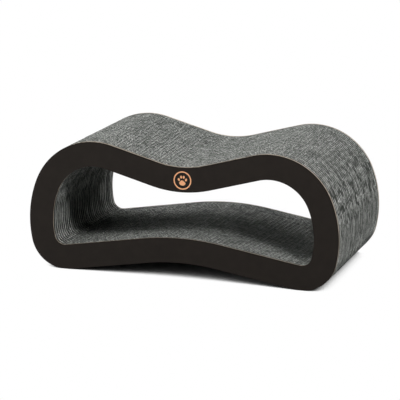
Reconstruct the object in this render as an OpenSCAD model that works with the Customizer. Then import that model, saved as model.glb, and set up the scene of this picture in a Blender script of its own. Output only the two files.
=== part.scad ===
// Cat scratcher made as a closed ring of corrugated board.
// Dozens of like double-wall boards stand on edge, one behind the other, glued face to face.
// A cat lies in the dip on top, walks through the ring, and scratches the open ends of the flutes.
// Millimetres. +X runs along the ring, +Y from the front panel to the rear one, +Z up.
// The origin is on the floor, in the middle of the ring's length and depth.

/* [Ring] */
// Overall length of the ring, from end to end
ring_l = 640; // [600:5:700]
// Overall height, from the floor to the top of the two humps
ring_h = 264; // [250:1:285]
// Thickness of the ring's wall, the same all the way round
wall = 50; // [36:1:56]
// Height of the level where the ring is longest, as a share of the overall height
side_share = 0.38; // [0.34:0.01:0.4]

/* [Curves of the outline] */
// Radius of the round ends
side_r = 215; // [190:1:240]
// Radius of the round feet
foot_r = 71; // [60:1:80]
// Radius of the two humps on top
hump_r = 134; // [115:1:145]
// Radius of the hollow between the humps
dip_r = 180; // [140:1:250]
// How far that hollow dips below the humps
dip_depth = 38; // [26:1:54]
// Radius of the arch underneath
arch_r = 447; // [300:1:600]
// Height of the arch above the floor
arch_z = 33; // [20:1:40]
// How deep the feet are pressed flat where they stand
foot_land = 0.5; // [0.2:0.1:1]

/* [Boards] */
// Number of corrugated boards, which sets the depth of the ring
boards = 34; // [12:1:58]
// Thickness of one corrugated board
board_t = 9.8; // [7:0.1:12]
// Depth of a board's coarse flutes, which stand open in front of its flat back
flute_h = 4.7; // [2.5:0.1:5.6]
// Distance from one flute to the next
flute_pitch = 8.8; // [7.4:0.1:12]
// Thickness of the printed panel that closes each side
panel_t = 3.5; // [1:0.5:6]

/* [Hidden] */
// How far each board's flutes are shifted from those of the board in front, in flutes
phase_share = 0.382;
// How far cutting shapes run past what they cut
overrun = 2;
// How far a straight step of a round outline may lie from the true arc
round_error = 0.4;
// Share of the room between the feet, or between the humps, that the arc between them may take
arc_room_share = 0.98;

core_d = boards * board_t;
ring_d = core_d + 2 * panel_t;
front_y = -ring_d / 2;

// Centres of the circles that make the right half of the outline.
// Foot and hump touch the end circle from inside, so each passes smoothly into it.
end_c = [ring_l / 2 - side_r, ring_h * side_share];
foot_c = inside(end_c, side_r - foot_r, foot_r - foot_land);
hump_c = inside(end_c, side_r - hump_r, ring_h - hump_r);

// The arch and the dip have their own radii, unless the feet or humps stand too close for that
arch_bend = min(arch_r, arc_room_share * touching_radius(foot_c.x, foot_r, foot_c.y - arch_z));
dip_bend = min(dip_r, arc_room_share * touching_radius(hump_c.x, hump_r, hump_r - dip_depth));
arch_c = [0, arch_z - arch_bend];
dip_c = [0, ring_h - dip_depth + dip_bend];

// Headings of the straight stretches from arch to foot and from dip to hump
arch_heading = crossing_tangent(arch_c, arch_bend, foot_c, foot_r, -1);
dip_heading = crossing_tangent(dip_c, dip_bend, hump_c, hump_r, 1);

// Name of board k, counted from the front
function board_name(k) = str("board_", k < 10 ? "0" : "", k);

// Point at height z and distance d from the point c, on its right
function inside(c, d, z) = [c.x + sqrt(d * d - (z - c.y) * (z - c.y)), z];

// Radius of the arc that just touches two circles of radius r, each at distance x from the middle,
// where the arc's own middle lies by rise past the level of their centres
function touching_radius(x, r, rise) = (x * x + rise * rise - r * r) / (2 * (r - rise));

// Heading of the straight line that passes between two circles and touches both
function crossing_tangent(c1, r1, c2, r2, turn) =
    atan2(c2.y - c1.y, c2.x - c1.x) + turn * asin((r1 + r2) / norm(c2 - c1));

// Angle at which the point p is seen from the point c
function angle_of(c, p) = atan2(p.y - c.y, p.x - c.x);

// Points along an arc about c, in short straight steps, with or without its last point
function arc(c, r, from, to, with_last) =
    let (steps = max(2, ceil(abs(to - from) / (2 * acos(1 - round_error / r)))))
    [for (i = [0:steps - (with_last ? 0 : 1)])
        c + r * [cos(from + (to - from) * i / steps), sin(from + (to - from) * i / steps)]];

// The right half of the outline, moved inwards by the inset: from the middle of the arch
// underneath along the foot, round the end and over the hump to the middle of the dip.
// The end and the hump each have a point at their furthest reach, so the overall sizes are true.
function half_outline(inset) = concat(
    arc(arch_c, arch_bend + inset, 90, 90 + arch_heading, true),
    arc(foot_c, foot_r - inset, arch_heading - 90, angle_of(end_c, foot_c), false),
    arc(end_c, side_r - inset, angle_of(end_c, foot_c), 0, false),
    arc(end_c, side_r - inset, 0, angle_of(end_c, hump_c), false),
    arc(hump_c, hump_r - inset, angle_of(end_c, hump_c), 90, false),
    arc(hump_c, hump_r - inset, 90, 90 + dip_heading, true),
    arc(dip_c, dip_bend + inset, dip_heading - 90, -90, true)
);

// The closed outline: the right half, and its mirror image back to the start
module outline(inset) {
    right = half_outline(inset);
    last = len(right) - 1;
    polygon(concat(right, [for (i = [last - 1:-1:1]) [-right[i].x, right[i].y]]));
}

// The ring seen from the front, flat where the feet stand
module ring_face() {
    difference() {
        outline(0);
        outline(wall);
        translate([-ring_l / 2, -foot_land - overrun]) square([ring_l, foot_land + overrun]);
    }
}

// A flat ring of thickness t, with its front at y
module ring(y, t) {
    translate([0, y + t, 0]) rotate([90, 0, 0]) linear_extrude(height = t) ring_face();
}

// Plan of one board from above: a flat back and upright flutes in front,
// whose crests touch the back of the board before
module flute_plan(shift) {
    half_count = ceil(ring_l / flute_pitch) + 2;
    far_x = half_count * flute_pitch / 2;
    polygon(concat(
        [for (i = [-half_count:half_count])
            [(i / 2 + shift) * flute_pitch, abs(i) % 2 == 0 ? 0 : flute_h]],
        [[far_x + shift * flute_pitch, board_t], [-far_x + shift * flute_pitch, board_t]]));
}

// One corrugated board of the core, counted from the front
module board(k) {
    y = front_y + panel_t + (k - 1) * board_t;
    shift = (k * phase_share) % 1;
    color("dimgray") intersection() {
        ring(y, board_t);
        translate([0, y, -overrun]) linear_extrude(height = ring_h + 2 * overrun) flute_plan(shift);
    }
}

// Printed panel that closes the front
module front_panel() {
    color("#26211f") ring(front_y, panel_t);
}

// Printed panel that closes the back
module rear_panel() {
    color("#26211f") ring(front_y + panel_t + core_d, panel_t);
}

front_panel();
for (k = [1:boards]) board(k);
rear_panel();
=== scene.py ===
# %% [markdown]
# A cat scratcher made of corrugated board, dressed for its photograph.
#
# The object is a closed ring that a cat lies on, walks through and scratches. It is nothing but
# corrugated board: 34 grey double-wall boards stand on edge one behind the other, and a thin board
# printed black closes the front and the back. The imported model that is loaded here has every
# board as a plain solid at its true place. This script replaces each of them by the board as it
# is really built, from flat paper and fluted paper, so that the open cells which a cat scratches
# are real holes and the light falls into them as it does in the photograph.

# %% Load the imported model
import math
import random

import bpy
import numpy as np
from mathutils import Matrix, Vector


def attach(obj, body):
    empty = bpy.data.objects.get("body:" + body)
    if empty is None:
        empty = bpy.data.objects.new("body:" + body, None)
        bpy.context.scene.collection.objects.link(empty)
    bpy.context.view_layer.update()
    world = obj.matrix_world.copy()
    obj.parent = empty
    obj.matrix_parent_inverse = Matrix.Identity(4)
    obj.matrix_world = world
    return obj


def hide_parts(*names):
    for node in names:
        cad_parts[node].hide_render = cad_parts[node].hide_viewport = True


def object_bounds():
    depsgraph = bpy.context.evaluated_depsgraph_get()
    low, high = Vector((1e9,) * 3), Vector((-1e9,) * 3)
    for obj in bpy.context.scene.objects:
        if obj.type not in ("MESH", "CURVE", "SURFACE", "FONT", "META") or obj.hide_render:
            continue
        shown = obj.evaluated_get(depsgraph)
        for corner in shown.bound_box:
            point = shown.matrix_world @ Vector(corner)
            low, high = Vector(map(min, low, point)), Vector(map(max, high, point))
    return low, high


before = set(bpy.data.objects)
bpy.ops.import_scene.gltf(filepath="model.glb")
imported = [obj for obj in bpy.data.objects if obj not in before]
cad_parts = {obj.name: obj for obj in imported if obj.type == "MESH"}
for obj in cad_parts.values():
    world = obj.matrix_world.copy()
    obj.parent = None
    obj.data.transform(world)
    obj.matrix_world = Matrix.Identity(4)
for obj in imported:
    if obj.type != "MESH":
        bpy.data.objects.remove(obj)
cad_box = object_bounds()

MM = 0.001
ring_low, ring_high = cad_box
ring_l = ring_high.x - ring_low.x
ring_h = ring_high.z
boards = sorted(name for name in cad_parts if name.startswith("board_"))
print("ring", [round(v / MM, 1) for v in ring_high - ring_low], "mm,", len(boards), "boards")

# %% [markdown]
# The camera stands where the photographer stood: a long lens, nearly four metres off, a little to
# the right of the front and a little above it. Its place, heading and lens were worked out from
# the edges of the ring in the picture. A long lens keeps the rear as large as the front, which is
# why the ring looks so flat and calm.

# %% Camera
CAMERA_AT = (1.2035, -3.7643, 1.0301)
HEADING, TILT, ROLL = math.radians(17.946), math.radians(12.916), math.radians(0.451)
LENS_MM, SENSOR_MM = 178.77, 36.0
CLIP_NEAR, CLIP_FAR = 0.1, 100.0

bpy.ops.object.camera_add(location=CAMERA_AT)
camera = bpy.context.object
camera.name = "photo_camera"
camera.data.lens, camera.data.sensor_width = LENS_MM, SENSOR_MM
turned = Matrix.Rotation(HEADING, 4, "Z") @ Matrix.Rotation(math.pi / 2 - TILT, 4, "X")
turned = turned @ Matrix.Rotation(ROLL, 4, "Z")
camera.rotation_euler = turned.to_euler()
camera.data.clip_start, camera.data.clip_end = CLIP_NEAR, CLIP_FAR
bpy.context.scene.camera = camera
bpy.context.scene.view_settings.view_transform = "Standard"
print("camera", [round(v, 3) for v in camera.location], "lens", LENS_MM, "mm")

# %% [markdown]
# Materials are networks of nodes. One helper adds a node, sets its values and links its inputs,
# so that each material below can be read from top to bottom. Colours are written as the hex
# values that a screen shows, and turned into the linear values that light is counted in.

# %% Helpers for materials
def linear(hex_colour):
    """Linear RGBA of a screen colour such as #8a8d88."""
    shares = [int(hex_colour[i : i + 2], 16) / 255 for i in (1, 3, 5)]
    turned = [s / 12.92 if s <= 0.04045 else ((s + 0.055) / 1.055) ** 2.4 for s in shares]
    return (*turned, 1.0)


def add_node(material, kind, settings=None, inputs=None):
    """Adds a node, sets its own settings, and fills or links its inputs by name or number."""
    tree = material.node_tree
    node = tree.nodes.new(kind)
    for key, value in (settings or {}).items():
        setattr(node, key, value)
    for key, value in (inputs or {}).items():
        if isinstance(value, bpy.types.NodeSocket):
            tree.links.new(value, node.inputs[key])
        else:
            node.inputs[key].default_value = value
    return node


def new_material(name):
    """A material with nothing in it but its output."""
    material = bpy.data.materials.new(name)
    material.use_nodes = True
    material.node_tree.nodes.clear()
    output = add_node(material, "ShaderNodeOutputMaterial")
    return material, output


print("a mid grey of the screen is", round(linear("#808080")[0], 3), "in linear light")

# %% [markdown]
# The photograph was taken on a white table under soft boxes, in a room that gives no light of its
# own. So the world is dark for every ray but the camera's, which would see a light grey past the
# edge of the table.

# %% Surround
world = bpy.data.worlds.new("studio_surround")
world.use_nodes = True
bpy.context.scene.world = world
world.node_tree.nodes.clear()
world_out = add_node(world, "ShaderNodeOutputWorld")
path = add_node(world, "ShaderNodeLightPath")
unlit = add_node(world, "ShaderNodeBackground", None, {"Strength": 0.0})
seen = add_node(world, "ShaderNodeBackground")
mixed = add_node(
    world,
    "ShaderNodeMixShader",
    None,
    {0: path.outputs["Is Camera Ray"], 1: unlit.outputs[0], 2: seen.outputs[0]},
)
world.node_tree.links.new(mixed.outputs[0], world_out.inputs["Surface"])
print("surround of", len(world.node_tree.nodes), "nodes")

# %% [markdown]
# The table looks pure white, and is dark only under the arch and where the ring stands. More light
# would do that, but it would also bleach the ring. So the camera and the rays that leave a gloss
# see a white of strength 1 where the sky above the table is open, mixed with a darker grey table,
# lit by the lamps, where little of it is. The dark under the arch and round the feet is thus partly
# real shadow and partly painted shade: an occlusion mask sets how far it reaches, and the grey
# there is darker than that of the real table. All other rays meet a plain grey table, which sends a
# part of the light back up.

# %% Table
TABLE_SIZE, TABLE_DROP = 14.0, 0.2 * MM
TABLE_SHADED, TABLE_REAL = 0.2, 0.3
SKY_REACH, SKY_SAMPLES = 0.16, 16
SKY_SHUT, SKY_OPEN = 0.1, 0.34

bpy.ops.mesh.primitive_plane_add(size=TABLE_SIZE, location=(0, 0, -TABLE_DROP))
table = bpy.context.object
table.name = "studio_table"
painted, painted_out = new_material("white_painted_table")
rays = add_node(painted, "ShaderNodeLightPath")
either = add_node(
    painted,
    "ShaderNodeMath",
    {"operation": "MAXIMUM"},
    {0: rays.outputs["Is Camera Ray"], 1: rays.outputs["Is Glossy Ray"]},
)
real = add_node(painted, "ShaderNodeBsdfDiffuse", None, {"Color": (TABLE_REAL,) * 3 + (1,)})
shaded = add_node(painted, "ShaderNodeBsdfDiffuse", None, {"Color": (TABLE_SHADED,) * 3 + (1,)})
white = add_node(painted, "ShaderNodeEmission", None, {"Strength": 1.0})
# Painted shade: where little sky is open, this occlusion mask swaps the white for the darker grey
# table.
sky = add_node(
    painted, "ShaderNodeAmbientOcclusion", {"samples": SKY_SAMPLES}, {"Distance": SKY_REACH}
)
opened = add_node(
    painted,
    "ShaderNodeMapRange",
    {"interpolation_type": "SMOOTHSTEP"},
    {0: sky.outputs["AO"], 1: SKY_SHUT, 2: SKY_OPEN, 3: 0.0, 4: 1.0},
)
shown = add_node(
    painted,
    "ShaderNodeMixShader",
    None,
    {0: opened.outputs[0], 1: shaded.outputs[0], 2: white.outputs[0]},
)
both = add_node(
    painted,
    "ShaderNodeMixShader",
    None,
    {0: either.outputs[0], 1: real.outputs[0], 2: shown.outputs[0]},
)
painted.node_tree.links.new(both.outputs[0], painted_out.inputs["Surface"])
table.data.materials.append(painted)
print("table of", TABLE_SIZE, "m")

# %% [markdown]
# The soft boxes stand on a dome about the ring, each at its direction and height seen from there.
# The slopes that face left are the brightest in the photograph, so much of the light comes from
# the left and from behind. A bright strip with a clear edge runs along the front of the inner
# floor, so one smaller lamp stands in front on the right and shines into the tunnel. The strengths
# were found by rendering the ring under each lamp alone and comparing the levels with the
# photograph's.

# %% Soft boxes
DOME_R, DOME_MIDDLE = 2.2, Vector((0, 0, 0.1))
# Name, azimuth and elevation in degrees, width in metres, power in watts
LAMPS = [
    ("left_behind", -120, 18, 0.9, 68.0),
    ("behind", -150, 42, 0.9, 15.0),
    ("left_front", -60, 18, 0.9, 16.5),
    ("front_left", -30, 18, 0.9, 5.5),
    ("front_high", 0, 66, 0.9, 19.0),
    ("right_front_small", 50, 38, 0.35, 23.0),
    ("right_behind", 110, 24, 0.9, 17.0),
]


def soft_lamp(name, azimuth, elevation, width, watts):
    """A square lamp on the dome, facing its middle. Azimuth 0 is in front, and 90 on the right."""
    turn, rise = math.radians(azimuth), math.radians(elevation)
    flat = math.cos(rise)
    away = Vector((math.sin(turn) * flat, -math.cos(turn) * flat, math.sin(rise)))
    bpy.ops.object.light_add(type="AREA", location=DOME_MIDDLE + DOME_R * away)
    lamp = bpy.context.object
    lamp.name = name
    lamp.data.size, lamp.data.energy = width, watts
    lamp.rotation_euler = (-away).to_track_quat("-Z", "Y").to_euler()
    return lamp


for name, azimuth, elevation, width, watts in LAMPS:
    soft_lamp(name + "_softbox", azimuth, elevation, width, watts)
print(len(LAMPS), "soft boxes,", sum(lamp[-1] for lamp in LAMPS), "W in all")

# %% [markdown]
# Every board and both panels are punched by the same steel rule, which is a knife bent to shape, so
# they all share one outline. It is made of arcs that pass smoothly into each other: an arch
# underneath, a foot, a round end, a hump and a dip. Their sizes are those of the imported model.

# %% Sizes of the outline
WALL = 50 * MM
SIDE_SHARE = 0.38
SIDE_R, FOOT_R, HUMP_R = 215 * MM, 71 * MM, 134 * MM
DIP_R, DIP_DEPTH = 180 * MM, 38 * MM
ARCH_R, ARCH_Z = 447 * MM, 33 * MM
FOOT_LAND = 0.5 * MM
OUTLINE_STEP = 2.9 * MM


def inside(centre, distance, height):
    """The point at that height and that distance from a centre, on its right."""
    rise = height - centre.y
    return Vector((centre.x + math.sqrt(distance**2 - rise**2), height))


def slant(first, first_r, second, second_r, turn):
    """Heading of the straight line that passes between two circles and touches both."""
    apart = second - first
    reach = (first_r + second_r) / apart.length
    return math.atan2(apart.y, apart.x) + turn * math.asin(reach)


def seen_from(centre, point):
    """Direction of a point, seen from a centre."""
    return math.atan2(point.y - centre.y, point.x - centre.x)


end_c = Vector((ring_l / 2 - SIDE_R, ring_h * SIDE_SHARE))
foot_c = inside(end_c, SIDE_R - FOOT_R, FOOT_R - FOOT_LAND)
hump_c = inside(end_c, SIDE_R - HUMP_R, ring_h - HUMP_R)
arch_c = Vector((0, ARCH_Z - ARCH_R))
dip_c = Vector((0, ring_h - DIP_DEPTH + DIP_R))
arch_heading = slant(arch_c, ARCH_R, foot_c, FOOT_R, -1)
dip_heading = slant(dip_c, DIP_R, hump_c, HUMP_R, 1)
slopes = [round(math.degrees(heading), 1) for heading in (arch_heading, dip_heading)]
print("the slopes at the arch and at the dip are", slopes, "degrees")

# %% [markdown]
# Blender edits what is selected, and both the loaded nodes and each new primitive arrive
# selected. So a few helpers come first: one clears the selection, one opens an object for editing,
# one picks vertices by their place, and one picks faces by a test. The others apply modifiers, and
# copy, join and delete what is modelled.

# %% Helpers that select
def only(thing):
    """Leaves object mode with nothing selected but this object."""
    if bpy.context.object and bpy.context.object.mode != "OBJECT":
        bpy.ops.object.mode_set(mode="OBJECT")
    bpy.ops.object.select_all(action="DESELECT")
    thing.select_set(True)
    bpy.context.view_layer.objects.active = thing
    return thing


def edit(thing, mode="VERT"):
    """Opens one object in edit mode with nothing selected."""
    only(thing)
    bpy.ops.object.mode_set(mode="EDIT")
    bpy.ops.mesh.select_mode(type=mode)
    bpy.ops.mesh.select_all(action="DESELECT")


def pick_vertices(thing, test):
    """Selects the vertices whose place passes the test, and returns how many there are."""
    edit(thing)
    bpy.ops.object.mode_set(mode="OBJECT")
    for vertex in thing.data.vertices:
        vertex.select = test(vertex.co)
    bpy.ops.object.mode_set(mode="EDIT")
    return thing.data.total_vert_sel


def pick_faces(thing, test):
    """Selects the faces that pass the test."""
    edit(thing, "FACE")
    bpy.ops.object.mode_set(mode="OBJECT")
    for face in thing.data.polygons:
        face.select = test(face)
    bpy.ops.object.mode_set(mode="EDIT")


print("selecting helpers ready")

# %% Helpers that finish and copy
def finish_with(thing, kind, **settings):
    """Adds a modifier, sets it and applies it."""
    only(thing)
    modifier = thing.modifiers.new(kind.lower(), kind)
    for key, value in settings.items():
        setattr(modifier, key, value)
    bpy.ops.object.modifier_apply(modifier=modifier.name)
    return thing


def twin(thing, name, shift=(0, 0, 0)):
    """A copy with its own mesh, moved in its mesh."""
    copied = thing.copy()
    copied.data = thing.data.copy()
    copied.name = copied.data.name = name
    bpy.context.scene.collection.objects.link(copied)
    copied.data.transform(Matrix.Translation(shift))
    return copied


def joined(things, name):
    """Joins several objects into the first one."""
    only(things[0])
    for thing in things[1:]:
        thing.select_set(True)
    bpy.ops.object.join()
    things[0].name = things[0].data.name = name
    return things[0]


def delete(thing):
    """Removes a helper object."""
    mesh = thing.data
    bpy.data.objects.remove(thing)
    bpy.data.meshes.remove(mesh)


print("finishing helpers ready")

# %% [markdown]
# The outline could be drawn as a curve, but a curve does not know that its arcs touch. Spinning
# does: one upright edge, as long as the ring's wall is thick, stands in the middle of the arch
# and is spun about the centre of each arc in turn, and pushed straight where two arcs do not meet.
# The spun edge leaves a band of clean four-sided faces behind it. That is half the ring, and a
# mirror makes the other half. The operator counts its angle against the right-hand rule, so about
# an axis that points away from the viewer a positive angle turns leftwards.
#
# The helpers know the selected edge only by being selected, so each turn and each straight piece
# starts where the one before it ended.

# %% Rolling and pushing an edge
AWAY_FROM_VIEWER = (0, 1, 0)


def roll_about(centre, radius, angle):
    """Spins the selected edge about a centre by an angle, leftwards if it is positive."""
    steps = max(2, math.ceil(abs(angle) * radius / OUTLINE_STEP))
    bpy.ops.mesh.spin(
        steps=steps, angle=angle, center=(centre.x, 0, centre.y), axis=AWAY_FROM_VIEWER
    )


def push(heading, length):
    """Extrudes the selected edge straight along a heading, in steps like those of the arcs."""
    steps = math.ceil(length / OUTLINE_STEP)
    step = length / steps
    away = (math.cos(heading) * step, 0, math.sin(heading) * step)
    for _ in range(steps):
        bpy.ops.mesh.extrude_region_move(TRANSFORM_OT_translate={"value": away})


def straight_between(first, first_r, second, second_r):
    """Length of the straight line that passes between two circles and touches both."""
    return math.sqrt((second - first).length ** 2 - (first_r + second_r) ** 2)


print("the edge moves in steps of", round(OUTLINE_STEP / MM, 1), "mm at most")

# %% The face of the ring
MERGE = 0.01 * MM

bpy.ops.mesh.primitive_plane_add(size=WALL, location=(0, 0, 0), rotation=(math.pi / 2, 0, 0))
ring_face = bpy.context.object
ring_face.name = "ring_face"
only(ring_face)
bpy.ops.object.transform_apply()
pick_vertices(ring_face, lambda p: p.x > 0)
bpy.ops.mesh.delete(type="VERT")
pick_vertices(ring_face, lambda p: True)
bpy.ops.transform.translate(value=(WALL / 2, 0, ARCH_Z + WALL / 2))
arch_to_foot = straight_between(arch_c, ARCH_R, foot_c, FOOT_R)
dip_to_hump = straight_between(dip_c, DIP_R, hump_c, HUMP_R)
low_turn, high_turn = seen_from(end_c, foot_c), seen_from(end_c, hump_c)
roll_about(arch_c, ARCH_R, arch_heading)
push(arch_heading, arch_to_foot)
roll_about(foot_c, FOOT_R, low_turn - (arch_heading - math.pi / 2))
roll_about(end_c, SIDE_R, -low_turn)
roll_about(end_c, SIDE_R, high_turn)
roll_about(hump_c, HUMP_R, math.pi / 2 + dip_heading - high_turn)
push(dip_heading + math.pi, dip_to_hump)
roll_about(dip_c, DIP_R, -dip_heading)
pick_vertices(ring_face, lambda p: p.z < 0)
bpy.ops.transform.resize(value=(1, 1, 0), center_override=(0, 0, 0))
bpy.ops.object.mode_set(mode="OBJECT")
finish_with(ring_face, "MIRROR", merge_threshold=MERGE)
if ring_face.data.polygons[0].normal.y > 0:
    ring_face.data.flip_normals()
reach = [round(v / MM, 1) for v in ring_face.dimensions]
print("ring face", len(ring_face.data.polygons), "faces,", reach, "mm")

# %% [markdown]
# Each step of the band has one edge that runs straight across the wall. Its two ends keep that
# direction as an attribute, because the knife's damage is cut into the boards along it later.

# %% Directions into the wall
across_wall = ring_face.data.attributes.new("into_the_wall", "FLOAT_VECTOR", "POINT")
for edge in ring_face.data.edges:
    first, second = (ring_face.data.vertices[i].co for i in edge.vertices)
    if (second - first).length > WALL / 2:
        across_wall.data[edge.vertices[0]].vector = (second - first).normalized()
        across_wall.data[edge.vertices[1]].vector = (first - second).normalized()
print(len(across_wall.data), "points know their way into the wall")

# %% [markdown]
# Corrugated board is paper glued to paper. Flat sheets, the liners, are held apart by fluted
# sheets, the mediums, which left the corrugator's gear rollers as a smooth wave. A double-wall
# board has three liners with a coarse and a fine wave between them. The flutes stand upright
# here, so the punch opens them along the top and the bottom of the ring and slits them lengthwise
# at its two ends.
#
# The papers are drawn thicker than the real ones, which are a few tenths of a millimetre, because
# their cut edges would hardly show at this distance. The fine flutes are the thickest, since their
# small cells are nearly shut to the eye.
#
# A wave could come from a displaced grid, but one flute is easier to get right: a narrow grid of
# eight columns, each pushed back by its share of a cosine. An array repeats it over the length
# of the ring, and a solidify gives it the thickness of the paper.

# %% Fluted paper
PANEL_T = 3.5 * MM
BOARD_T = (ring_high.y - ring_low.y - 2 * PANEL_T) / len(boards)
LINER_T, MEDIUM_T, FINE_MEDIUM_T = 0.85 * MM, 0.6 * MM, 1.5 * MM
COARSE_PITCH, FINE_PITCH = 8.8 * MM, 6.2 * MM
COARSE_SHARE, FINE_SHARE = 0.585, 0.415
GLUED_IN = 0.1 * MM
FLUTE_COLUMNS, SPARE_FLUTES = 8, 4
BLANK_SPARE = 12 * MM


def fluted_sheet(name, pitch, height, paper):
    """A sheet of fluted paper as high as the ring, its flutes upright and its front at y = 0."""
    tall = ring_h + 2 * BLANK_SPARE
    bpy.ops.mesh.primitive_grid_add(x_subdivisions=FLUTE_COLUMNS, y_subdivisions=1, size=1)
    sheet = bpy.context.object
    sheet.name = sheet.data.name = name
    edit(sheet)
    bpy.ops.mesh.select_all(action="SELECT")
    bpy.ops.transform.resize(value=(pitch, tall, 1))
    bpy.ops.transform.translate(value=(pitch / 2, tall / 2, 0))
    bpy.ops.object.mode_set(mode="OBJECT")
    sheet.data.transform(Matrix.Rotation(math.pi / 2, 4, "X"))
    sheet.data.transform(Matrix.Translation((0, 0, -BLANK_SPARE)))
    swing = (height - paper) / 2
    for column in range(1, FLUTE_COLUMNS):
        across = column * pitch / FLUTE_COLUMNS
        pick_vertices(sheet, lambda p: abs(p.x - across) < pitch / FLUTE_COLUMNS / 3)
        back = swing * (1 - math.cos(math.tau * column / FLUTE_COLUMNS))
        bpy.ops.transform.translate(value=(0, back, 0))
    flutes = math.ceil(ring_l / pitch) + SPARE_FLUTES
    finish_with(
        sheet,
        "ARRAY",
        count=flutes,
        use_relative_offset=False,
        use_constant_offset=True,
        constant_offset_displace=(pitch, 0, 0),
        use_merge_vertices=True,
        merge_threshold=MERGE,
    )
    finish_with(sheet, "SOLIDIFY", thickness=paper, offset=0, use_even_offset=True)
    sheet.data.transform(Matrix.Translation((-flutes * pitch / 2, paper / 2, 0)))
    return sheet


# What three liners leave for the flutes, which sink into the glue on both sides
room = BOARD_T - 3 * LINER_T + 4 * GLUED_IN
coarse_h, fine_h = room * COARSE_SHARE, room * FINE_SHARE
coarse_sheet = fluted_sheet("coarse_sheet", COARSE_PITCH, coarse_h, MEDIUM_T)
fine_sheet = fluted_sheet("fine_sheet", FINE_PITCH, fine_h, FINE_MEDIUM_T)
print("flutes", round(coarse_h / MM, 2), "and", round(fine_h / MM, 2), "mm deep")

# %% [markdown]
# The punch. The face of the ring gets a depth, and what of a sheet lies inside it is kept. That
# is a boolean intersection, done here with the solver for closed meshes, which takes a fraction
# of a second for each sheet. Liners need no punch, because a thickened face is already one.
#
# The coarse flutes are the softest paper of the board. The rule crushes them before it cuts them,
# so their edges end up a little deeper than those of the liners. They are deepest on the shoulders
# of the ring and in the lower corners of the tunnel, where the rule meets them at a slant and
# pulls them out. They get a punch of their own, whose outline lies that much further inside the
# wall.

# %% Punch and liners
PUNCH_REACH = 3 * BOARD_T
CRUSHED, PULLED_OUT = 0.9 * MM, 2.6 * MM


def eaten(thing, depth_at):
    """Moves the edges of a ring into its wall, by a depth worked out from places and directions."""
    mesh = thing.data
    places, inwards = np.empty(3 * len(mesh.vertices)), np.empty(3 * len(mesh.vertices))
    mesh.vertices.foreach_get("co", places)
    mesh.attributes["into_the_wall"].data.foreach_get("vector", inwards)
    places, inwards = places.reshape(-1, 3), inwards.reshape(-1, 3)
    places += inwards * depth_at(places, inwards)[:, None]
    mesh.vertices.foreach_set("co", places.ravel())
    return thing


def thickened(name, front, depth, face=ring_face):
    """The face of the ring with a thickness, its front at a given y."""
    made = twin(face, name)
    finish_with(made, "SOLIDIFY", thickness=depth, offset=-1, use_even_offset=False)
    made.data.transform(Matrix.Translation((0, front, 0)))
    return made


def crushed(places, inwards):
    """How deep the rule crushes the coarse flutes, which depends on its slant there."""
    sideways, downwards = np.abs(inwards[:, 0]), np.clip(-inwards[:, 2], 0, 1)
    return CRUSHED + PULLED_OUT * 2 * sideways * downwards


punch = thickened("punch", -BOARD_T, PUNCH_REACH)
crushed_face = eaten(twin(ring_face, "crushed_face"), crushed)
deep_punch = thickened("deep_punch", -BOARD_T, PUNCH_REACH, crushed_face)


def punched(sheet, name, shift, tool):
    """A copy of a sheet, shifted along the ring and punched to its outline."""
    cut = twin(sheet, name, (shift, 0, 0))
    return finish_with(cut, "BOOLEAN", operation="INTERSECT", object=tool, solver="MANIFOLD")


print("two punches with", len(punch.data.polygons), "faces each")

# %% [markdown]
# Grey corrugated paper. It is made from recycled fibre dyed grey in the pulp, pressed dry, and
# left with no coating. So it has no gloss to speak of, its grey wanders a little, short pale and
# dark fibres show in it, and they lie along the machine's direction, which is upright here. The
# fibres are drawn about a millimetre apart, coarser than the real ones, because finer ones would
# not show. Papers and inks keep the default IOR of 1.5, which is near that of paper fibre, and a
# roughness between 0.6 for the thick ink and 1 for the raised fibres.
#
# Where the knife cut the paper it has raised the fibres, which makes a pale fuzzy edge. The faces
# inside the flutes get a darker grey than the paper's own, which is painted shade in the cells.
# Together they make a lattice of pale lines round dark cells, partly real and partly painted shade,
# so the two get a material each. Two helpers serve both: a noise whose grains are as large as they
# are told to be, and a rough ending with a relief.

# %% Helpers for papers and inks
NOISE_LOW, NOISE_HIGH = 0.3, 0.7
RELIEF_STRENGTH = 0.6


def noise_of(material, grain, detail, low=NOISE_LOW, high=NOISE_HIGH):
    """Noise with its own grain along X, Y and Z, stretched so that low is 0 and high is 1."""
    place = add_node(material, "ShaderNodeTexCoord")
    scaled = add_node(
        material,
        "ShaderNodeMapping",
        None,
        {0: place.outputs["Object"], "Scale": tuple(1 / width for width in grain)},
    )
    noise = add_node(
        material,
        "ShaderNodeTexNoise",
        None,
        {"Vector": scaled.outputs[0], "Scale": 1.0, "Detail": detail},
    )
    spread = add_node(
        material, "ShaderNodeMapRange", None, {0: noise.outputs["Fac"], 1: low, 2: high}
    )
    return spread.outputs[0]


def dull_surface(material, output, colour, relief, depth, roughness, gloss):
    """Ends a material in a rough surface with a relief of a given depth."""
    bump = add_node(
        material,
        "ShaderNodeBump",
        None,
        {"Height": relief, "Strength": RELIEF_STRENGTH, "Distance": depth},
    )
    skin = add_node(
        material,
        "ShaderNodeBsdfPrincipled",
        None,
        {
            "Base Color": colour,
            "Normal": bump.outputs[0],
            "Roughness": roughness,
            "Specular IOR Level": gloss,
        },
    )
    material.node_tree.links.new(skin.outputs[0], output.inputs["Surface"])


print("most of a noise lies between", NOISE_LOW, "and", NOISE_HIGH)

# %% Faces of the grey paper, darkened as painted shade in the cells
# Both greys are darker than the paper's own, as painted shade in the cells.
SHEET_DARK, SHEET_PALE = "#3a3d3a", "#5a5e5a"
FIBRE_SIZE, FIBRE_RELIEF = (0.9 * MM, 0.9 * MM, 6 * MM), 0.2 * MM

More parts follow.
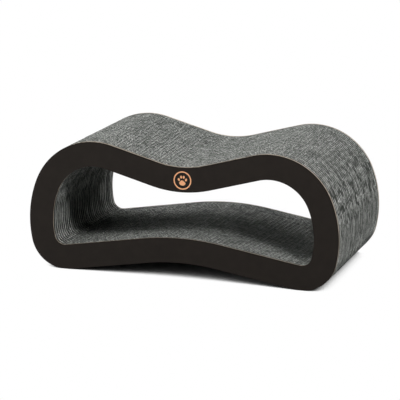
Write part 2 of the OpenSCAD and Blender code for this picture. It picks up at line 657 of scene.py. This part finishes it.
sheet_face, sheet_out = new_material("grey_paper_face_darkened_as_cell_shade")
fibres = noise_of(sheet_face, FIBRE_SIZE, detail=3.0)
greys = add_node(
    sheet_face,
    "ShaderNodeMix",
    {"data_type": "RGBA"},
    {0: fibres, 6: linear(SHEET_DARK), 7: linear(SHEET_PALE)},
)
dull_surface(
    sheet_face, sheet_out, greys.outputs[2], fibres, FIBRE_RELIEF, roughness=0.95, gloss=0.1
)
print(sheet_face.name, "has", len(sheet_face.node_tree.nodes), "nodes")

# %% [markdown]
# The cut edge is palest at each crest of the flutes and dark between the crests, where the open
# cells lie. The dark between the crests is painted shade of those cells. A cosine along X draws
# that, and a power makes the crests broad and the valleys between them narrow. Each board stores
# where its crests are in one attribute. A second one says whether a paper takes this painted shade,
# as the coarse flutes and the two outer liners do.

# %% Crests on the cut edge, with painted shade between them
BROADENED = 3.0

cut_edge, edge_out = new_material("grey_recycled_paper_cut_edge")
place = add_node(cut_edge, "ShaderNodeTexCoord")
axes = add_node(cut_edge, "ShaderNodeSeparateXYZ", None, {0: place.outputs["Object"]})
crest_mark = add_node(cut_edge, "ShaderNodeAttribute", {"attribute_name": "crest_at"})
valley_shade_taken = add_node(cut_edge, "ShaderNodeAttribute", {"attribute_name": "glued"})
from_crest = add_node(
    cut_edge,
    "ShaderNodeMath",
    {"operation": "SUBTRACT"},
    {0: axes.outputs["X"], 1: crest_mark.outputs["Fac"]},
)
turns = add_node(
    cut_edge,
    "ShaderNodeMath",
    {"operation": "DIVIDE"},
    {0: from_crest.outputs[0], 1: COARSE_PITCH},
)
angle = add_node(
    cut_edge, "ShaderNodeMath", {"operation": "MULTIPLY"}, {0: turns.outputs[0], 1: math.tau}
)
wave = add_node(cut_edge, "ShaderNodeMath", {"operation": "COSINE"}, {0: angle.outputs[0]})
between = add_node(
    cut_edge,
    "ShaderNodeMath",
    {"operation": "MULTIPLY_ADD"},
    {0: wave.outputs[0], 1: -0.5, 2: 0.5},
)
# Painted shade: the valley share darkens the cut edge between the crests, where the open cells lie.
valley_shade = add_node(
    cut_edge, "ShaderNodeMath", {"operation": "POWER"}, {0: between.outputs[0], 1: BROADENED}
)
crest = add_node(
    cut_edge, "ShaderNodeMath", {"operation": "SUBTRACT"}, {0: 1.0, 1: valley_shade.outputs[0]}
)
print("crests every", round(COARSE_PITCH / MM, 1), "mm")

# %% [markdown]
# White noise gives every flute of every board its own luck under the knife. Its square makes bad
# luck rare.

# %% Luck of each flute
LUCK, RARITY = 0.7, 2.0

flute_mark = add_node(cut_edge, "ShaderNodeMath", {"operation": "ROUND"}, {0: turns.outputs[0]})
board_mark = add_node(
    cut_edge,
    "ShaderNodeMath",
    {"operation": "MULTIPLY"},
    {0: crest_mark.outputs["Fac"], 1: 1 / MM},
)
flute = add_node(
    cut_edge,
    "ShaderNodeCombineXYZ",
    None,
    {"X": flute_mark.outputs[0], "Y": board_mark.outputs[0]},
)
luck = add_node(
    cut_edge, "ShaderNodeTexWhiteNoise", {"noise_dimensions": "2D"}, {"Vector": flute.outputs[0]}
)
bad_luck = add_node(
    cut_edge, "ShaderNodeMath", {"operation": "POWER"}, {0: luck.outputs["Value"], 1: RARITY}
)
lucky = add_node(
    cut_edge,
    "ShaderNodeMath",
    {"operation": "MULTIPLY_ADD"},
    {0: bad_luck.outputs[0], 1: -LUCK, 2: 1.0},
)
print("the worst flutes keep", round(1 - LUCK, 1), "of their pale share")

# %% [markdown]
# The raised fibres stand in tufts, which are drawn a few millimetres long so that they show. With
# the crests and the luck they make the edge's share of its pale colour.

# %% Tufts on the cut edge
EDGE_DARK, EDGE_PALE = "#3c3e3b", "#dfe1dc"
TUFT_SIZE, TUFT_CONTRAST = (1.7 * MM, 3.6 * MM, 6 * MM), 0.3
PLAIN = 0.85

tufts = noise_of(cut_edge, TUFT_SIZE, detail=2.0)
tufted = add_node(
    cut_edge,
    "ShaderNodeMath",
    {"operation": "MULTIPLY_ADD"},
    {0: tufts, 1: TUFT_CONTRAST, 2: 1 - TUFT_CONTRAST},
)
raised = add_node(
    cut_edge,
    "ShaderNodeMath",
    {"operation": "MULTIPLY"},
    {0: lucky.outputs[0], 1: tufted.outputs[0]},
)
plain_share = add_node(
    cut_edge, "ShaderNodeMath", {"operation": "MULTIPLY"}, {0: raised.outputs[0], 1: PLAIN}
)
crest_pale_and_valley_shade = add_node(
    cut_edge,
    "ShaderNodeMath",
    {"operation": "MULTIPLY"},
    {0: raised.outputs[0], 1: crest.outputs[0]},
)
share = add_node(
    cut_edge,
    "ShaderNodeMix",
    None,
    {0: valley_shade_taken.outputs["Fac"], 2: plain_share.outputs[0], 3: crest_pale_and_valley_shade.outputs[0]},
)
edged = add_node(
    cut_edge,
    "ShaderNodeMix",
    {"data_type": "RGBA"},
    {0: share.outputs[0], 6: linear(EDGE_DARK), 7: linear(EDGE_PALE)},
)
print("paleness from", EDGE_DARK, "to", EDGE_PALE)

# %% [markdown]
# On the shoulders of the two ends the rule ran along the flutes at a slant and tore paper out of
# the edge. The holes are not modelled: dark patches are painted in their place, as the shade in
# them. A noise that is cut off sharply makes the patches. Two ranges keep them where they belong:
# one along X, which sets in towards the ends, and one in height, about the shoulders.

# %% Painted shade of tears on the cut edge
EDGE_HOLE_SHADE, EDGE_RELIEF = "#383a37", 0.5 * MM
TEAR_SIZE = (11 * MM, 11 * MM, 16.5 * MM)
TORN_LOW, TORN_HIGH = 0.51, 0.6
SHOULDER_FROM, SHOULDER_TO = 225 * MM, 300 * MM
SHOULDER_Z, SHOULDER_FULL, SHOULDER_END = 170 * MM, 40 * MM, 100 * MM

tears = noise_of(cut_edge, TEAR_SIZE, detail=4.0, low=TORN_LOW, high=TORN_HIGH)
from_middle = add_node(
    cut_edge, "ShaderNodeMath", {"operation": "ABSOLUTE"}, {0: axes.outputs["X"]}
)
near_end = add_node(
    cut_edge,
    "ShaderNodeMapRange",
    None,
    {0: from_middle.outputs[0], 1: SHOULDER_FROM, 2: SHOULDER_TO},
)
over_shoulder = add_node(
    cut_edge, "ShaderNodeMath", {"operation": "SUBTRACT"}, {0: axes.outputs["Z"], 1: SHOULDER_Z}
)
from_shoulder = add_node(
    cut_edge, "ShaderNodeMath", {"operation": "ABSOLUTE"}, {0: over_shoulder.outputs[0]}
)
at_shoulder = add_node(
    cut_edge,
    "ShaderNodeMapRange",
    None,
    {0: from_shoulder.outputs[0], 1: SHOULDER_END, 2: SHOULDER_FULL},
)
slanted = add_node(
    cut_edge,
    "ShaderNodeMath",
    {"operation": "MULTIPLY"},
    {0: near_end.outputs[0], 1: at_shoulder.outputs[0]},
)
# Painted shade: dark patches stand for the shade in holes torn out of the edge.
hole_shade_mask = add_node(
    cut_edge, "ShaderNodeMath", {"operation": "MULTIPLY"}, {0: tears, 1: slanted.outputs[0]}
)
edge_greys = add_node(
    cut_edge,
    "ShaderNodeMix",
    {"data_type": "RGBA"},
    {0: hole_shade_mask.outputs[0], 6: edged.outputs[2], 7: linear(EDGE_HOLE_SHADE)},
)
dull_surface(
    cut_edge, edge_out, edge_greys.outputs[2], tufts, EDGE_RELIEF, roughness=1.0, gloss=0.05
)
print(cut_edge.name, "has", len(cut_edge.node_tree.nodes), "nodes")

# %% [markdown]
# One board after the other is put together: front liner, coarse flutes, middle liner, fine
# flutes, rear liner. An array of one board would be quicker, but then all the flutes would stand in
# straight rows. No two boards come out of the punch alike, because the sheets lie in it as they
# were stacked, so the flutes start at another place in each. The stack is glued by hand too, and
# each board sits a few tenths of a millimetre off its neighbours. Both are drawn from a seeded
# chance.
#
# The knife leaves its marks on every edge. It chews the liners back where no flute stood behind
# them, and deeper at one flute than at the next. A bump in the material could draw that too, but
# the outline of the ring would stay smooth.

# %% Liners under the knife
CHEWED, BITE_LEAST, BITE_MOST = 1.4 * MM, 0.4, 1.6
SEED = 34

chance = random.Random(SEED)


def crest_share(xs, crest_at):
    """How near points are to a crest of the coarse flutes: 1 on a crest, 0 between two."""
    return 0.5 + 0.5 * np.cos((xs - crest_at) * math.tau / COARSE_PITCH)


def chewed(liner, crest_at):
    """Cuts the edge of a liner back between the crests, where no flute stood behind it."""
    flutes = 2 * math.ceil(ring_l / COARSE_PITCH)
    bites = np.array([chance.uniform(BITE_LEAST, BITE_MOST) for _ in range(flutes)])

    def depth_at(places, inwards):
        """Depth of the bite at each point. It is less where the edge runs upright."""
        flute = np.round((places[:, 0] - crest_at) / COARSE_PITCH + 0.5).astype(int)
        between = 1 - crest_share(places[:, 0], crest_at)
        return CHEWED * between * bites[flute] * np.abs(inwards[:, 2])

    return eaten(liner, depth_at)


print("bites up to", round(CHEWED * BITE_MOST / MM, 1), "mm deep")

# %% [markdown]
# Last, the knife drags the paper: a displace modifier with a coloured cloud pulls every edge a
# little this way and that. All the faces that the punch made look along the ring's plane, and no
# face of the paper itself does, so the pale edges are picked by their normals.

# %% Drag of the knife
DRAG, DRAG_GAP = 0.6 * MM, 5 * MM

drag = bpy.data.textures.new("knife_drag", "CLOUDS")
drag.cloud_type, drag.noise_scale, drag.noise_depth = "COLOR", DRAG_GAP, 1


def press_to_floor(thing):
    """Presses what reaches below the floor flat onto it."""
    if pick_vertices(thing, lambda p: p.z < 0):
        bpy.ops.transform.resize(value=(1, 1, 0), center_override=(0, 0, 0))
    only(thing)


def marked(thing, name, value):
    """Stores one number on every point of a piece."""
    mark = thing.data.attributes.new(name, "FLOAT", "POINT")
    mark.data.foreach_set("value", np.full(len(thing.data.vertices), value))
    return thing


print("the knife drags the paper by up to", round(DRAG / 2 / MM, 1), "mm each way")

# %% One board of paper
SLIP = 0.25 * MM
CUT_TURN = 0.2
SMOOTH_BELOW = math.radians(35)
CORE_FRONT = ring_low.y + PANEL_T


def board_of_paper(number, name, crest_at):
    """One double-wall board at its place in the stack."""
    other = chance.random() * FINE_PITCH
    coarse_y = LINER_T - GLUED_IN
    middle_y = coarse_y + coarse_h - GLUED_IN
    fine_y = middle_y + LINER_T - GLUED_IN
    coarse = punched(coarse_sheet, name + "_coarse", crest_at, deep_punch)
    coarse.data.transform(Matrix.Translation((0, coarse_y, 0)))
    fine = punched(fine_sheet, name + "_fine", other, punch)
    fine.data.transform(Matrix.Translation((0, fine_y, 0)))
    front = chewed(thickened(name + "_front", 0, LINER_T), crest_at)
    middle = chewed(thickened(name + "_middle", middle_y, LINER_T), crest_at + COARSE_PITCH / 2)
    rear = chewed(thickened(name + "_rear", BOARD_T - LINER_T, LINER_T), crest_at)
    # Papers marked 1 take the painted shade between the crests on their cut edges.
    for paper, share in [(coarse, 1.0), (front, 1.0), (rear, 1.0), (middle, 0.0), (fine, 0.0)]:
        marked(paper, "glued", share)
    board = joined([coarse, fine, front, middle, rear], name + "_paper")
    marked(board, "crest_at", crest_at)
    board.data.materials.clear()
    board.data.materials.append(sheet_face)
    board.data.materials.append(cut_edge)
    normals = np.empty(3 * len(board.data.polygons))
    board.data.polygons.foreach_get("normal", normals)
    is_cut = np.abs(normals[1::3]) < CUT_TURN
    board.data.polygons.foreach_set("material_index", is_cut.astype(int))
    sideways, upwards = chance.uniform(-SLIP, SLIP), chance.uniform(-SLIP, SLIP)
    slipped = Vector((sideways, CORE_FRONT + number * BOARD_T, upwards))
    board.data.transform(Matrix.Translation(slipped))
    finish_with(
        board,
        "DISPLACE",
        texture=drag,
        texture_coords="LOCAL",
        direction="RGB_TO_XYZ",
        strength=DRAG,
        mid_level=0.5,
    )
    press_to_floor(board)
    bpy.ops.object.shade_smooth_by_angle(angle=SMOOTH_BELOW)
    return board


print("boards", round(BOARD_T / MM, 2), "mm thick")

# %% The stack of boards
PHASE_DRIFT, PHASE_JUMP = 0.05, 0.12

drift = 0.0
for number, name in enumerate(boards):
    drift += chance.gauss(0, PHASE_DRIFT)
    crest_at = (drift + chance.gauss(0, PHASE_JUMP)) * COARSE_PITCH
    board = board_of_paper(number, name, crest_at % COARSE_PITCH)
    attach(board, "root")
    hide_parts(name)
print("each board has", len(board.data.polygons), "faces")
for helper in (coarse_sheet, fine_sheet):
    delete(helper)

# %% [markdown]
# The panels are single-wall board of one fine flute between two kraft liners. The outer liner is
# printed a flat warm black before the board is punched. The ink soaks into the paper, so it has no
# thickness to model and hardly any gloss. It lies a little unevenly, in a mottle that is drawn
# about two centimetres wide.

# %% Printed face of the panels
PRINT_BLACK, PRINT_WORN = "#1e1a17", "#28231f"
MOTTLE_GAP = 18 * MM

black_print, black_out = new_material("warm_black_ink_on_kraft_liner")
place = add_node(black_print, "ShaderNodeTexCoord")
mottle = add_node(
    black_print,
    "ShaderNodeTexNoise",
    None,
    {"Vector": place.outputs["Object"], "Scale": 1 / MOTTLE_GAP, "Detail": 6.0},
)
worn = add_node(
    black_print,
    "ShaderNodeMix",
    {"data_type": "RGBA"},
    {0: mottle.outputs["Fac"], 6: linear(PRINT_BLACK), 7: linear(PRINT_WORN)},
)
ink = add_node(
    black_print,
    "ShaderNodeBsdfPrincipled",
    None,
    {"Base Color": worn.outputs[2], "Roughness": 0.7, "Specular IOR Level": 0.12},
)
black_print.node_tree.links.new(ink.outputs[0], black_out.inputs["Surface"])
print(black_print.name, "has", len(black_print.node_tree.nodes), "nodes")

# %% [markdown]
# The ink ends where the board was cut. There the tan kraft paper shows, as a thin bright line round
# the outside. Round the tunnel no such line shows, so the cut faces there get a darker copy of the
# same paper, and the paper comes in two shades. The flecks of its pulp are drawn two millimetres
# wide, coarser than the real ones, so that they show.

# %% Cut edges of the panels
KRAFT_TAN, KRAFT_DARK = "#cfc2b2", "#aa9c8b"
# A darker copy of the kraft paper, for the cut faces round the tunnel.
TUNNEL_TAN, TUNNEL_DARK = "#6b645c", "#544e47"
PULP_GAP = 2 * MM


def kraft_paper(name, dark, pale):
    """Cut kraft paper, mottled by its pulp."""
    kraft, kraft_out = new_material(name)
    place = add_node(kraft, "ShaderNodeTexCoord")
    pulp = add_node(
        kraft,
        "ShaderNodeTexNoise",
        None,
        {"Vector": place.outputs["Object"], "Scale": 1 / PULP_GAP, "Detail": 4.0},
    )
    tan = add_node(
        kraft,
        "ShaderNodeMix",
        {"data_type": "RGBA"},
        {0: pulp.outputs["Fac"], 6: linear(dark), 7: linear(pale)},
    )
    bare = add_node(
        kraft,
        "ShaderNodeBsdfPrincipled",
        None,
        {"Base Color": tan.outputs[2], "Roughness": 0.9, "Specular IOR Level": 0.2},
    )
    kraft.node_tree.links.new(bare.outputs[0], kraft_out.inputs["Surface"])
    return kraft


bare_kraft = kraft_paper("bare_kraft_paper", KRAFT_DARK, KRAFT_TAN)
tunnel_kraft = kraft_paper("darker_kraft_paper_round_tunnel", TUNNEL_DARK, TUNNEL_TAN)
print("kraft paper in two shades,", KRAFT_TAN, "and", TUNNEL_TAN)

# %% [markdown]
# A panel is built like a board, with one fluted sheet between two liners. Its faces are then sorted
# by where they look. Those of the outer liner that look out of the ring take the ink, and the cut
# faces round the tunnel, whose normals point to the middle of the ring, take the darker copy of the
# kraft paper. All the others stay bare.

# %% Panels
PANEL_LINER_T, PANEL_MEDIUM_T = 0.6 * MM, 0.4 * MM
PANEL_PITCH = 6.2 * MM
FACING = 0.9
panel_flute_h = PANEL_T - 2 * PANEL_LINER_T + 2 * GLUED_IN
panel_sheet = fluted_sheet("panel_sheet", PANEL_PITCH, panel_flute_h, PANEL_MEDIUM_T)


def panel_of_paper(name, front, print_at, print_faces):
    """A single-wall panel whose front is at y, printed on the side that faces out."""
    flutes = punched(panel_sheet, name + "_flutes", 0, punch)
    flutes.data.transform(Matrix.Translation((0, PANEL_LINER_T - GLUED_IN, 0)))
    places = (0, PANEL_T - PANEL_LINER_T)
    liners = [thickened(name + "_liner", at, PANEL_LINER_T) for at in places]
    panel = joined([flutes, *liners], name + "_paper")
    panel.data.transform(Matrix.Translation((0, front, 0)))
    panel.data.materials.clear()
    for paper in (bare_kraft, black_print, tunnel_kraft):
        panel.data.materials.append(paper)

    def printed(face):
        """Whether a face of the outer liner looks out of the ring."""
        return face.normal.y * print_faces > FACING and abs(face.center.y - print_at) < MERGE

    def looks_into_tunnel(face):
        """Whether a cut face looks into the tunnel."""
        outwards = face.normal.x * face.center.x + face.normal.z * (face.center.z - ring_h / 2)
        return abs(face.normal.y) < CUT_TURN and outwards < 0

    for slot, test in [(1, printed), (2, looks_into_tunnel)]:
        pick_faces(panel, test)
        panel.active_material_index = slot
        bpy.ops.object.material_slot_assign()
    only(panel)
    bpy.ops.object.shade_smooth_by_angle(angle=SMOOTH_BELOW)
    return panel


for name, front, print_at, print_faces in [
    ("front_panel", ring_low.y, ring_low.y, -1),
    ("rear_panel", ring_high.y - PANEL_T, ring_high.y, 1),
]:
    panel = panel_of_paper(name, front, print_at, print_faces)
    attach(panel, "root")
    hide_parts(name)
print("each panel has", len(panel.data.polygons), "faces")
for helper in (panel_sheet, punch, deep_punch, crushed_face, ring_face):
    delete(helper)

# %% [markdown]
# One small print sits in the middle of the front, where the panel is lowest. It is a single pass of
# tan ink through a stencil, thick enough to feel: a thin ring with a paw in it. Ink has a
# thickness, so it is modelled as a film and not painted by the panel's material. Five discs start
# the paw, and each is pulled into its shape. A disc with its middle taken out is the ring. The
# stencil leaves pinholes in the ink, which are drawn a millimetre apart, because real ones would
# not show.

# %% Ink of the round print
INK_TAN, INK_WORN = "#f9b98a", "#e5a272"
PINHOLE_GAP, INK_RELIEF, FULLY_INKED = 1.2 * MM, 0.05 * MM, 0.62

tan_ink, ink_out = new_material("tan_screen_printing_ink")
pinholes = noise_of(tan_ink, (PINHOLE_GAP,) * 3, detail=3.0, high=FULLY_INKED)
tans = add_node(
    tan_ink,
    "ShaderNodeMix",
    {"data_type": "RGBA"},
    {0: pinholes, 6: linear(INK_WORN), 7: linear(INK_TAN)},
)
dull_surface(tan_ink, ink_out, tans.outputs[2], pinholes, INK_RELIEF, roughness=0.6, gloss=0.3)
print(tan_ink.name, "has", len(tan_ink.node_tree.nodes), "nodes")

# %% Round print
PRINT_AT = Vector((3 * MM, 0, 199.9 * MM))
PRINT_R, PRINT_LINE = 18.3 * MM, 2.4 * MM
FILM_T, FILM_SUNK = 0.15 * MM, 0.05 * MM
# Each toe's place from the middle, across and up in millimetres, and its tilt in degrees
TOES = [(-7.4, 1.5, 20), (-2.7, 6.6, 7), (2.7, 6.6, -7), (7.4, 1.5, -20)]
TOE_SIZE = (4.1 * MM, 5.8 * MM)
PAD_SIZE, PAD_DROP, PAD_WAIST = (13.0 * MM, 10.4 * MM), 5.0 * MM, 0.42
OVAL_STEPS = 40


def inked(name, size, at, tilt):
    """One oval of ink, upright on the front of the panel."""
    bpy.ops.mesh.primitive_circle_add(vertices=OVAL_STEPS, radius=0.5, fill_type="NGON")
    spot = bpy.context.object
    spot.name = spot.data.name = name
    turn = Matrix.Rotation(math.pi / 2, 4, "X") @ Matrix.Rotation(math.radians(tilt), 4, "Z")
    spot.data.transform(turn @ Matrix.Diagonal((*size, 1, 1)))
    spot.data.transform(Matrix.Translation(PRINT_AT + Vector((at[0], ring_low.y, at[1]))))
    return spot


hoop = inked("hoop", (2 * PRINT_R, 2 * PRINT_R), (0, 0), 0)
edit(hoop, "FACE")
bpy.ops.mesh.select_all(action="SELECT")
bpy.ops.mesh.inset(thickness=PRINT_LINE)
bpy.ops.mesh.delete(type="FACE")
bpy.ops.object.mode_set(mode="OBJECT")
pad = inked("pad", PAD_SIZE, (0, -PAD_DROP), 0)
for vertex in pad.data.vertices:
    rise = (vertex.co.z - PRINT_AT.z + PAD_DROP) / (PAD_SIZE[1] / 2)
    vertex.co.x *= 1 - PAD_WAIST * max(0.0, rise)
toes = [inked("toe", TOE_SIZE, (across * MM, up * MM), tilt) for across, up, tilt in TOES]
print_film = joined([hoop, pad, *toes], "front_print")
finish_with(print_film, "SOLIDIFY", thickness=FILM_T, offset=1 - 2 * FILM_SUNK / FILM_T)
print_film.data.materials.append(tan_ink)
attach(print_film, "root")
print("print", [round(v / MM, 2) for v in print_film.dimensions], "mm")
